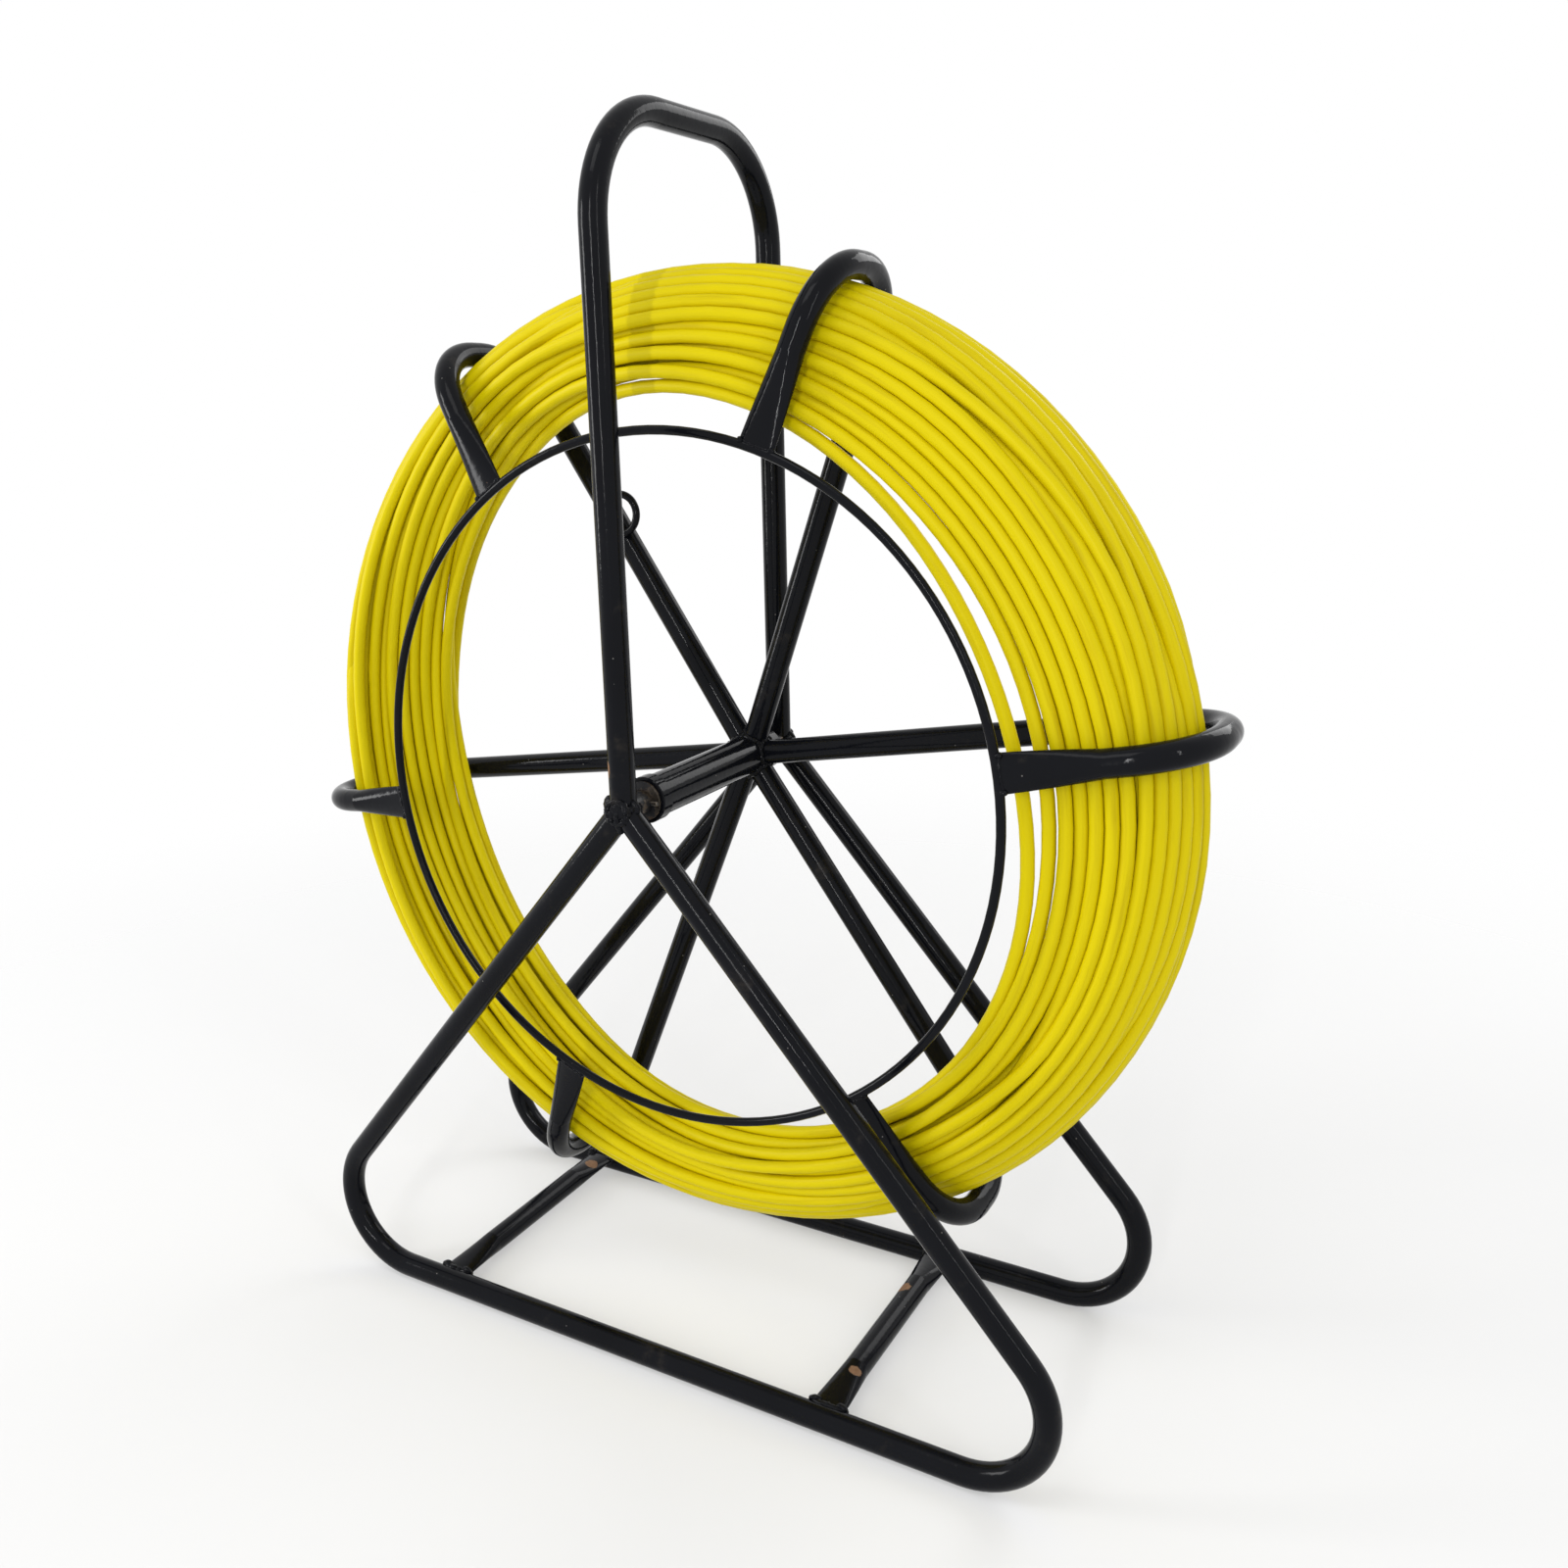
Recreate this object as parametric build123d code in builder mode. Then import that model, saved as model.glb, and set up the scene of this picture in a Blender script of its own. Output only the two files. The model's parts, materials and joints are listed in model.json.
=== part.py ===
"""Fish tape reel: a fibreglass rod wound in a hooked wire reel that turns on an axle in a tube stand.

Frame: millimetres, +Z up. The origin is on the floor under the middle of the axle.
X runs along the base rails, Y along the axle from the front of the stand to its rear.
"""

from build123d import *
from math import cos, radians, sin, tan
import os

# ---------------------------------------------------------------- driving dimensions

# Tube of the stand and of the hooks, and its ends where they are pressed flat
tube_d = 16.0             # outside diameter
tube_wall = 1.5
flat_w = 23.0             # pressed end, across
flat_t = 5.0              # pressed end, thickness
press_mid = 0.55          # share of a pressed stretch where it is half formed
press_mid_w = 20.7        # width and thickness there
press_mid_t = 8.8

# Reel: six hooks around a barrel, joined in front by a wire ring
hook_r = 317.0            # centreline radius of the hooks' outermost run
reel_half_depth = 55.6    # reel's middle plane back to the spokes, and forward to the ring
spoke_angles = (9.0, 70.5, 123.0, 188.0, 247.5, 305.5)
hook_leg_in = 102.2       # a hook's front leg: how far it comes in from the outermost run
hook_leg_slant = 18.8     # and how far it leans forward on the way
hook_leg_straight = 11.6  # length that stays round between the bend and the pressed end
hook_bend_r = 46.0
ring_wire = 5.5
eye_in = 71.0             # rod eye, inwards from the coil's rear inner edge
eye_aside = 11.5          # its middle, measured across from the spoke's middle
eye_r = 13.0
eye_wire = 5.0
eye_spoke = 2             # which spoke carries it
eye_bite = 0.06           # how far its weld sinks into the spoke

# Axle and running gear, from the inside out
axle_d = 14.0
axle_run = 0.06           # radial running clearance in the bushes
bush_wall = 3.0
bush_l = 14.0
bush_recess = 3.0
barrel_wall = 3.0
collar_wall = 1.3
collar_l = 10.0
collar_chamfer = 0.65
collar_gap = 0.4          # spokes to the rear collar
washer_inset = 1.0        # washer's rim inside the barrel's
washer_t = 2.0
washer_slack = 0.2        # radial play of a thrust washer on the axle
end_play = 0.4            # barrel end to thrust washer
split_pin_d = 3.0
split_pin_out = 5.0       # how far it stands out of the axle, on both sides
split_pin_chamfer = 0.6
split_eye_r = 2.6
split_eye_wire = 2.4

# Stand: two triangular leg frames joined by a hoop handle, two cross tubes and the axle
pin_to_frame = 8.6        # split pin to the tube of a leg frame
reel_lift = 33.0          # hooks above the cross tubes
hand_gap = 52.0           # hooks to the underside of the grip
handle_bend_r = 64.0      # centreline radius of the handle's two bends
foot_half_span = 321.0    # half the base, measured at the sharp corner of the centrelines
foot_bend_r = 50.0        # centreline radius of a foot's bend
cross_left_in = 149.0     # each cross tube, inwards from that corner
cross_right_in = 197.0
cross_lift = 4.0          # how far a cross tube sits above the middle of the rails
cross_flat_l = 46.0       # length over which each end is pressed flat

# Rod: corners of the wound coil's section. The first value is inwards from the hooks' inner
# radius. The second is back from the ring and half a tube, or forward from the spokes.
rod_d = 8.0
coil_inner_front = (79.0, 5.0)
coil_outer_front = (9.0, 26.1)
coil_outermost = (1.0, 47.6)
coil_outer_rear = (9.0, 37.6)
coil_rear_outer_in = 38.0
coil_rear_inner_in = 55.0
coil_bite = 0.05          # the coil leans this far into the spokes
coil_round = 3.5

# Ferrules on the rod's two ends
ferrule_wall = 1.0
ferrule_l = 28.0
ferrule_bore_l = 20.0
ferrule_chamfer = 0.8
crimps = 3
crimp_w = 2.0
crimp_depth = 0.35
crimp_pitch = 6.0
stud_d = 6.0
stud_l = 12.0
stud_chamfer = 0.7
rod_tail_l = 52.0         # straight end of the rod before its ferrule
lead_angle = 36.0         # the lead end, inside the coil, points anticlockwise
lead_off_coil = 1.0       # from the ferrule's side to the coil's inner face
lead_before_spokes = 12.6
lead_tilt_out = -6.0
tail_angle = 219.0        # the tail end, outside the coil, points clockwise
tail_off_coil = 1.25      # and to its outer face
tail_before_spokes = 17.6
tail_tilt_out = 8.0
tail_tilt_rear = 10.0

# ---------------------------------------------------------------- worked out from those

tube_r = tube_d / 2
tube_bore_r = tube_r - tube_wall
rail_z = tube_r

spoke_y = reel_half_depth
spoke_front_y = spoke_y - tube_r
ring_r = hook_r - hook_leg_in
ring_y = -reel_half_depth
hook_front_y = ring_y + hook_leg_slant

barrel_bore_r = axle_d / 2 + bush_wall
barrel_d = 2 * (barrel_bore_r + barrel_wall)
barrel_half_l = spoke_y + tube_r + collar_gap + collar_l
collar_d = barrel_d + 2 * collar_wall
washer_d = barrel_d - 2 * washer_inset
washer_y = barrel_half_l + end_play
split_pin_l = axle_d + 2 * split_pin_out
split_pin_y = washer_y + washer_t + split_pin_d / 2

frame_half_depth = split_pin_y + split_pin_d / 2 + pin_to_frame + tube_r
axle_height = rail_z + cross_lift + tube_r + reel_lift + tube_r + hook_r
handle_z = axle_height + hook_r + tube_r + hand_gap + tube_r
axle_mid = Vector(0, 0, axle_height)

coil_outer_r = hook_r - tube_r
coil_front_y = ring_y + tube_r
coil_rear_y = spoke_front_y + coil_bite
coil_corners = (
    (coil_outer_r - coil_inner_front[0], coil_front_y + coil_inner_front[1]),
    (coil_outer_r - coil_outer_front[0], coil_front_y + coil_outer_front[1]),
    (coil_outer_r - coil_outermost[0], coil_front_y + coil_outermost[1]),
    (coil_outer_r - coil_outer_rear[0], spoke_front_y - coil_outer_rear[1]),
    (coil_outer_r - coil_rear_outer_in, coil_rear_y),
    (coil_outer_r - coil_rear_inner_in, coil_rear_y),
)

ferrule_d = rod_d + 2 * ferrule_wall

os.makedirs("parts", exist_ok=True)


def save(part, name):
    """Label one finished piece and write it under its node name."""
    part.label = name
    export_step(part, f"parts/{name}.step")


def annulus(plane, outer_r, inner_r):
    """A tube's cross-section on a plane."""
    with BuildSketch(plane) as ring:
        Circle(outer_r)
        Circle(inner_r, mode=Mode.SUBTRACT)
    return ring.sketch


def start_plane(wire):
    """The plane across a path at its beginning."""
    return Plane(origin=wire @ 0, z_dir=wire % 0)


def radial_plane(angle):
    """Local x runs out from the axle at that angle, local y along the axle."""
    turn = radians(angle)
    return Plane(origin=axle_mid, x_dir=(cos(turn), 0, sin(turn)), z_dir=(-sin(turn), 0, cos(turn)))


def axle_plane(y):
    """Plane across the axle at a depth, facing the rear."""
    return Plane(origin=(0, y, axle_height), x_dir=(-1, 0, 0), z_dir=(0, 1, 0))


# ---------------------------------------------------------------- stand

# One inverted U of tube: front upright, grip along Y, rear upright
with BuildPart() as handle_hoop:
    with BuildLine(Plane.YZ) as hoop_path:
        FilletPolyline(
            (-frame_half_depth, axle_height),
            (-frame_half_depth, handle_z),
            (frame_half_depth, handle_z),
            (frame_half_depth, axle_height),
            radius=handle_bend_r,
        )
    sweep(annulus(start_plane(hoop_path.line), tube_r, tube_bore_r), path=hoop_path.line)
    with BuildSketch(Plane.XZ) as axle_hole:
        with Locations((0, axle_height)):
            Circle(axle_d / 2)
    extrude(amount=2 * frame_half_depth, both=True, mode=Mode.SUBTRACT)
save(handle_hoop.part, "handle_hoop")

# A leg frame is one bent tube: leg, foot, rail, foot, leg. Both legs are mitred at the apex,
# under the upright, and drilled for the axle.
leg_slope = Vector(foot_half_span, 0, axle_height - rail_z).normalized()
leg_overrun = 2 * tube_d


def leg_frame(y):
    apex_past = axle_mid + leg_slope * leg_overrun
    with BuildPart() as frame:
        with BuildLine(Plane.XZ.offset(-y)) as half_path:
            FilletPolyline(
                (apex_past.X, apex_past.Z),
                (-foot_half_span, rail_z),
                (0, rail_z),
                radius=foot_bend_r,
            )
        sweep(annulus(start_plane(half_path.line), tube_r, tube_bore_r), path=half_path.line)
        split(bisect_by=Plane.YZ, keep=Keep.BOTTOM)
        mirror(about=Plane.YZ)
        with BuildSketch(Plane.XY.offset(axle_height)) as upright:
            with Locations((0, y)):
                Circle(tube_r)
        extrude(amount=leg_overrun, mode=Mode.SUBTRACT)
        with BuildSketch(Plane.XZ.offset(-y)) as axle_hole:
            with Locations((0, axle_height)):
                Circle(axle_d / 2)
        extrude(amount=tube_d, both=True, mode=Mode.SUBTRACT)
    return frame.part


save(leg_frame(-frame_half_depth), "front_leg_frame")
save(leg_frame(frame_half_depth), "rear_leg_frame")


def pressed_end(start, length, across):
    """Loft a round tube into its flat end, along the plane's normal. across is the flat's wide axis."""
    with BuildPart() as end:
        stations = ((0, tube_d, tube_d), (press_mid, press_mid_w, press_mid_t), (1, flat_w, flat_t))
        for share, wide, thick in stations:
            middle = start.origin + start.z_dir * length * share
            with BuildSketch(Plane(origin=middle, x_dir=across, z_dir=start.z_dir)):
                Ellipse(wide / 2, thick / 2)
        loft()
    return end.part


# A cross tube butts against both rails with its ends pressed flat and coped to the rail
def cross_tube(x):
    height = rail_z + cross_lift
    round_half = frame_half_depth - cross_flat_l
    with BuildPart() as cross:
        with BuildSketch(Plane(origin=(x, -round_half, height), z_dir=(0, 1, 0))):
            Circle(tube_r)
            Circle(tube_bore_r, mode=Mode.SUBTRACT)
        extrude(amount=2 * round_half)
        for side in (-1, 1):
            mouth = Plane(origin=(x, side * round_half, height), x_dir=(1, 0, 0), z_dir=(0, side, 0))
            add(pressed_end(mouth, cross_flat_l, (1, 0, 0)))
            with BuildSketch(Plane.YZ.offset(x)) as rail:
                with Locations((side * frame_half_depth, rail_z)):
                    Circle(tube_r)
            extrude(amount=flat_w, both=True, mode=Mode.SUBTRACT)
            with BuildSketch(Plane.YZ.offset(x)) as past_rail:
                with Locations((side * (frame_half_depth + tube_d), rail_z)):
                    Rectangle(2 * tube_d, 4 * tube_d)
            extrude(amount=flat_w, both=True, mode=Mode.SUBTRACT)
    return cross.part


save(cross_tube(cross_left_in - foot_half_span), "left_cross_tube")
save(cross_tube(foot_half_span - cross_right_in), "right_cross_tube")

# The axle is a plain bar, flush with the outside of both apexes and cross-drilled for split pins
with BuildPart() as axle:
    with BuildSketch(axle_plane(-frame_half_depth - tube_r)):
        Circle(axle_d / 2)
    extrude(amount=2 * frame_half_depth + tube_d)
    with BuildSketch(Plane.YZ):
        with Locations((-split_pin_y, axle_height), (split_pin_y, axle_height)):
            Circle(split_pin_d / 2)
    extrude(amount=axle_d, both=True, mode=Mode.SUBTRACT)
save(axle.part, "axle")

for name, side in (("front", -1), ("rear", 1)):
    with BuildPart() as washer:
        with BuildSketch(axle_plane(side * washer_y)):
            Circle(washer_d / 2)
            Circle(axle_d / 2 + washer_slack, mode=Mode.SUBTRACT)
        extrude(amount=side * washer_t)
    save(washer.part, f"{name}_thrust_washer")

    # The pin lies across the axle, its eye to the left
    with BuildPart() as split_pin:
        with BuildSketch(Plane.YZ.offset(-split_pin_l / 2)):
            with Locations((side * split_pin_y, axle_height)):
                Circle(split_pin_d / 2)
        extrude(amount=split_pin_l)
        chamfer(split_pin.faces().sort_by(Axis.X)[-1].edges(), split_pin_chamfer)
        eye_x = -split_pin_l / 2 - split_eye_r
        with BuildSketch(Plane.XY.offset(axle_height)):
            with Locations((eye_x - split_eye_r, side * split_pin_y)):
                Circle(split_eye_wire / 2)
        revolve(axis=Axis((eye_x, side * split_pin_y, axle_height), (0, 1, 0)))
    save(split_pin.part, f"{name}_split_pin")

# ---------------------------------------------------------------- reel

with BuildPart() as hub_barrel:
    with BuildSketch(axle_plane(-barrel_half_l)):
        Circle(barrel_d / 2)
        Circle(barrel_bore_r, mode=Mode.SUBTRACT)
    extrude(amount=2 * barrel_half_l)
save(hub_barrel.part, "hub_barrel")

for name, side in (("front", -1), ("rear", 1)):
    with BuildPart() as collar:
        with BuildSketch(axle_plane(side * barrel_half_l)):
            Circle(collar_d / 2)
            Circle(barrel_d / 2, mode=Mode.SUBTRACT)
        extrude(amount=-side * collar_l)
        outer_rims = collar.edges().filter_by(GeomType.CIRCLE).sort_by(SortBy.RADIUS)[-2:]
        chamfer(outer_rims, collar_chamfer)
    save(collar.part, f"{name}_collar")

    with BuildPart() as bush:
        with BuildSketch(axle_plane(side * (barrel_half_l - bush_recess))):
            Circle(barrel_bore_r)
            Circle(axle_d / 2 + axle_run, mode=Mode.SUBTRACT)
        extrude(amount=-side * bush_l)
    save(bush.part, f"{name}_bush")

# Each hook is one tube: spoke out from the barrel, round the outside of the coil, and back in
# to the ring with its end pressed flat. Neighbours are mitred where they meet at the barrel.
leg_run = Vector(-hook_leg_in, -hook_leg_slant)
leg_unit = leg_run.normalized()
leg_turn = Vector(0, -1).get_angle(leg_run)
hook_round_l = hook_bend_r * tan(radians(leg_turn / 2)) + hook_leg_straight
hook_flat_l = leg_run.length - hook_round_l
flat_start = Vector(hook_r, hook_front_y) + leg_unit * hook_round_l
wedge_reach = 2 * hook_r


def bisector(angle, other):
    """The angle half-way from one spoke to the next one round."""
    gap = (other - angle + 180) % 360 - 180
    return angle + gap / 2


def spoke_hook(index):
    angle = spoke_angles[index]
    before = bisector(angle, spoke_angles[index - 1])
    after = bisector(angle, spoke_angles[(index + 1) % len(spoke_angles)])
    plane = radial_plane(angle)
    with BuildPart() as hook:
        with BuildLine(plane) as hook_path:
            FilletPolyline(
                (0, spoke_y),
                (hook_r, spoke_y),
                (hook_r, hook_front_y),
                (flat_start.X, flat_start.Y),
                radius=hook_bend_r,
            )
        sweep(annulus(start_plane(hook_path.line), tube_r, tube_bore_r), path=hook_path.line)
        inward = plane.x_dir * leg_unit.X + plane.y_dir * leg_unit.Y
        mouth = Plane(origin=hook_path.line @ 1, x_dir=plane.z_dir, z_dir=inward)
        add(pressed_end(mouth, hook_flat_l, plane.z_dir))
        with BuildSketch(Plane.XZ) as wedge:
            with BuildLine():
                middle = (0, axle_height)
                rays = [
                    (wedge_reach * cos(radians(a)), axle_height + wedge_reach * sin(radians(a)))
                    for a in (before, after)
                ]
                Polyline(middle, rays[0], rays[1], close=True)
            make_face()
        extrude(amount=wedge_reach, both=True, mode=Mode.INTERSECT)
        with BuildSketch(axle_plane(0)) as barrel_cope:
            Circle(barrel_d / 2)
        extrude(amount=2 * spoke_y, mode=Mode.SUBTRACT)
        with BuildSketch(radial_plane(angle)) as ring_cope:
            with Locations((ring_r, ring_y)):
                Circle(ring_wire / 2)
        revolve(axis=Axis(axle_mid, (0, 1, 0)), mode=Mode.SUBTRACT)
    return hook.part


for index in range(len(spoke_angles)):
    save(spoke_hook(index), f"spoke_hook_{index + 1}")

with BuildPart() as front_ring:
    with BuildSketch(radial_plane(0)):
        with Locations((ring_r, ring_y)):
            Circle(ring_wire / 2)
    revolve(axis=Axis(axle_mid, (0, 1, 0)))
save(front_ring.part, "front_ring")

# The rod eye is a small wire ring laid flat on the front of one spoke and welded there
eye_plane = radial_plane(spoke_angles[eye_spoke])
eye_y = spoke_front_y - eye_wire / 2 + eye_bite
eye_along = coil_corners[-1][0] - eye_in
eye_mid = eye_plane.origin + eye_plane.x_dir * eye_along - eye_plane.z_dir * eye_aside + Vector(0, eye_y, 0)
with BuildPart() as rod_eye:
    with BuildSketch(Plane(origin=eye_mid, x_dir=eye_plane.x_dir, z_dir=eye_plane.z_dir)):
        with Locations((eye_r, 0)):
            Circle(eye_wire / 2)
    revolve(axis=Axis(eye_mid, (0, 1, 0)))
save(rod_eye.part, "rod_eye")

# ---------------------------------------------------------------- rod


def between(start, end, depth):
    """Radius at a depth on the straight face between two corners of the coil's section."""
    share = (depth - start[1]) / (end[1] - start[1])
    return start[0] + (end[0] - start[0]) * share


def ferrule_plane(angle, radius, depth, heading, tilt_out, tilt_rear):
    """The plane across the rod where a ferrule begins. heading is 1 when the end points anticlockwise."""
    turn = radians(angle)
    out = Vector(cos(turn), 0, sin(turn))
    along = Vector(-sin(turn), 0, cos(turn)) * heading
    aim = along + out * sin(radians(tilt_out)) + Vector(0, sin(radians(tilt_rear)), 0)
    return Plane(origin=axle_mid + out * radius + Vector(0, depth, 0), z_dir=aim.normalized())


lead_y = spoke_front_y - lead_before_spokes
lead_r = between(coil_corners[0], coil_corners[5], lead_y) - ferrule_d / 2 - lead_off_coil
lead_plane = ferrule_plane(lead_angle, lead_r, lead_y, 1, lead_tilt_out, 0)
tail_y = spoke_front_y - tail_before_spokes
tail_r = between(coil_corners[3], coil_corners[4], tail_y) + ferrule_d / 2 + tail_off_coil
tail_plane = ferrule_plane(tail_angle, tail_r, tail_y, -1, tail_tilt_out, tail_tilt_rear)

# The wound rod, as the outer shape of its coil with the two straight ends that enter the ferrules
with BuildPart() as rod_coil:
    with BuildSketch(radial_plane(0)) as section:
        with BuildLine():
            Polyline(*coil_corners, close=True)
        make_face()
        fillet(section.vertices(), coil_round)
    revolve(axis=Axis(axle_mid, (0, 1, 0)))
    for end_plane in (lead_plane, tail_plane):
        with BuildSketch(end_plane.offset(-rod_tail_l)):
            Circle(rod_d / 2)
        extrude(amount=rod_tail_l + ferrule_bore_l)
save(rod_coil.part, "rod_coil")


def ferrule(plane):
    """A crimped sleeve with a threaded stud for a pulling eye or a joiner."""
    with BuildPart() as body:
        with BuildSketch(plane):
            Circle(ferrule_d / 2)
        extrude(amount=ferrule_l)
        chamfer(body.edges().filter_by(GeomType.CIRCLE), ferrule_chamfer)
        with BuildSketch(plane.offset(ferrule_l)):
            Circle(stud_d / 2)
        extrude(amount=stud_l)
        stud_rim = body.edges().filter_by(GeomType.CIRCLE).sort_by(Axis(plane.origin, plane.z_dir))[-1]
        chamfer(stud_rim, stud_chamfer)
        with BuildSketch(plane):
            Circle(rod_d / 2)
        extrude(amount=ferrule_bore_l, mode=Mode.SUBTRACT)
        for groove in range(1, crimps + 1):
            with BuildSketch(plane.offset(groove * crimp_pitch - crimp_w / 2)):
                Circle(ferrule_d / 2)
                Circle(ferrule_d / 2 - crimp_depth, mode=Mode.SUBTRACT)
            extrude(amount=crimp_w, mode=Mode.SUBTRACT)
    return body.part


save(ferrule(lead_plane), "lead_ferrule")
save(ferrule(tail_plane), "tail_ferrule")
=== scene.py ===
"""Fish tape reel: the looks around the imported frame. Metres, +Z up, origin on the floor under the axle."""

import json
from math import cos, pi, radians, sin

import bmesh
import bpy
import numpy as np
from mathutils import Matrix, Vector, noise
from mathutils.bvhtree import BVHTree


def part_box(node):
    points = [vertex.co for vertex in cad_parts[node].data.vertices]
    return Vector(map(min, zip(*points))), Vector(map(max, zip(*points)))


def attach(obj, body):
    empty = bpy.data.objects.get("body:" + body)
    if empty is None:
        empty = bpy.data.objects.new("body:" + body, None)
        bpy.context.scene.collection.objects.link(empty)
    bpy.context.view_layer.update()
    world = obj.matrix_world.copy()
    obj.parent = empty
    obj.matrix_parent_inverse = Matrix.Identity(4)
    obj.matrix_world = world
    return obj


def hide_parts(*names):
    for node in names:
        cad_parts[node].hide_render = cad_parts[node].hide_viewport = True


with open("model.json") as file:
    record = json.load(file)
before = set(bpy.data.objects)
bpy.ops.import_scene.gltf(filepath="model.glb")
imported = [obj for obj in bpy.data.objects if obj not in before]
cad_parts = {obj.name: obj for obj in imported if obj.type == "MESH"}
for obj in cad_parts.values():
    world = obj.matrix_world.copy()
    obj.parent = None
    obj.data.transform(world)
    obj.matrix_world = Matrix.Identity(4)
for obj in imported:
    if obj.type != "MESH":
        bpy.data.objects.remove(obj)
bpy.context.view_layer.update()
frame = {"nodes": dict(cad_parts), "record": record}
nodes = frame["nodes"]
scene = bpy.context.scene

# ---------------------------------------------------------------- places, from the frame

axle_low, axle_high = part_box("axle")
AXLE_Z = (axle_low.z + axle_high.z) / 2
APEX_FACE = axle_high.y                    # outside face of both apexes
ring_low, ring_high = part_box("front_ring")
RING_Y = (ring_low.y + ring_high.y) / 2
RING_WIRE_R = (ring_high.y - ring_low.y) / 2
RING_R = (ring_high.x - ring_low.x) / 2 - RING_WIRE_R
barrel_low, barrel_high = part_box("hub_barrel")
BARREL_R = (barrel_high.x - barrel_low.x) / 2
frame_low, frame_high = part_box("front_leg_frame")
TUBE_R = (frame_high.y - frame_low.y) / 2
FRAME_Y = -(frame_high.y + frame_low.y) / 2
RAIL_Z = TUBE_R

# ---------------------------------------------------------------- camera

CAMERA_PLACE = (0.4527, -0.7352, 0.5981)
CAMERA_RIGHT = (0.85336, 0.52003, -0.03664)
CAMERA_UP = (-0.10015, 0.23251, 0.96742)
CAMERA_BACK = (0.51160, -0.82189, 0.25050)
LENS_MM = 31.85
SENSOR_MM = 36.0
SHIFT = (0.0522, -0.0043)


def make_camera():
    data = bpy.data.cameras.new("camera")
    data.lens = LENS_MM
    data.sensor_width = SENSOR_MM
    data.shift_x, data.shift_y = SHIFT
    camera = bpy.data.objects.new("camera", data)
    scene.collection.objects.link(camera)
    turn = Matrix((CAMERA_RIGHT, CAMERA_UP, CAMERA_BACK)).transposed()
    camera.matrix_world = Matrix.Translation(CAMERA_PLACE) @ turn.to_4x4()
    scene.camera = camera


# ---------------------------------------------------------------- the wound rod

ROD_D = 0.008
STATIONS = 48                      # places along one turn
STEP = 360 / STATIONS              # degrees between them
FIRST_STATION = 31                 # where the rod comes out of its straight tail
FREE_TURNS = 34                    # whole turns from there to the straight lead end
LAST_STATION = 3

# The room inside the hooks: a wedge between the middles of their two bends, grown by the bends' inside
HOOK_INSIDE_R = 0.038
BEND_MIDDLE_R = 0.271
REAR_BEND_Y = 0.0096
FRONT_BEND_Y = 0.0016
LEG_IN = np.array([0.9838, 0.1792])        # from a hook's front bend to the ring: inwards, forwards
SLACK = 0.0001                     # kept between the rod and whatever it lies against

# The front row of turns, from the coil's outside to its inside, as radius and depth at some angles
# round the reel. BEHIND is the way from it to the rows behind, at the same angles.
OUTER_TURNS = [(0.3046, 0.004), (0.3032, -0.009), (0.2985, -0.0185), (0.2905, -0.0262)]
FRONT_ROW = {
    0: OUTER_TURNS + [(0.280, -0.031), (0.2265, -0.0402)],
    55: OUTER_TURNS + [(0.280, -0.031), (0.2300, -0.0395)],
    100: OUTER_TURNS + [(0.280, -0.030), (0.2520, -0.0340)],
    140: [(0.3032, -0.009), (0.2985, -0.0185), (0.286, -0.025), (0.264, -0.019), (0.237, 0.018)],
    180: [
        (0.3008, -0.0142), (0.2955, -0.0222), (0.284, -0.015),
        (0.275, 0.002), (0.260, 0.020), (0.236, 0.043),
    ],
    225: [(0.3008, -0.0142), (0.2955, -0.0222), (0.284, -0.024), (0.264, -0.010), (0.238, 0.038)],
    270: [(0.3008, -0.0142), (0.295, -0.0225), (0.285, -0.028), (0.251, -0.035), (0.249, -0.010)],
    318: [(0.3040, -0.005), (0.2985, -0.0185), (0.285, -0.0290), (0.2450, -0.037), (0.2440, -0.030)],
    340: OUTER_TURNS + [(0.280, -0.031), (0.2420, -0.0385)],
    360: OUTER_TURNS + [(0.280, -0.031), (0.2265, -0.0402)],
}
BEHIND = {0: (0.25, 0.97), 55: (0.25, 0.97), 100: (0.35, 0.94), 140: (0.62, 0.78), 180: (0.78, 0.62),
          225: (0.70, 0.71), 270: (0.35, 0.94), 318: (0.30, 0.95), 340: (0.25, 0.97), 360: (0.25, 0.97)}
ROW_PITCH = 0.0072
# Turns in each row, and the share of the row's line that they take, from the deepest row forwards
ROWS = (
    (1.2, 0.25, 0.50),
    (4.2, 0.12, 0.62),
    (6.8, 0.05, 0.76),
    (9.0, 0.02, 0.87),
    (13.3, 0.00, 1.10),
)
WANDER = 0.0024                    # how far a turn strays from its row
WANDER_EVERY = 14                  # stations between its changes of mind
WANDER_REGAIN = 1.6                # makes up for what the smoothing takes from it
STEP_BLUR = 5                      # stations over which a turn's change of row is eased

# Settling, pass by pass
PASSES = 500
LAST_PASSES = 60                   # of them only push the turns apart
PULLS = (0.04, 0.025, 0.005)       # towards a station's own place: first half, second half, last passes
EVENING = 0.35                     # towards the middle of its two neighbours
STIFFNESS = 0.05                   # against a kink
PARTING = 0.4                      # share of an overlap that each of two turns gives up
TURN_GAP = ROD_D * 1.008           # between the middles of two turns that touch


def smooth_share(x):
    x = np.clip(x, 0, 1)
    return x * x * (3 - 2 * x)


def along_line(points, shares):
    line = np.array(points)
    run = np.concatenate([[0], np.cumsum(np.linalg.norm(np.diff(line, axis=0), axis=1))])
    return np.stack([np.interp(shares * run[-1], run, line[:, k]) for k in (0, 1)], axis=-1)


def smoothed(values, width):
    kernel = np.hanning(2 * width + 1)
    kernel /= kernel.sum()
    padded = np.pad(values, ((width, width), (0, 0)), mode="edge")
    return np.stack([np.convolve(padded[:, k], kernel, mode="valid") for k in (0, 1)], axis=-1)


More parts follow.
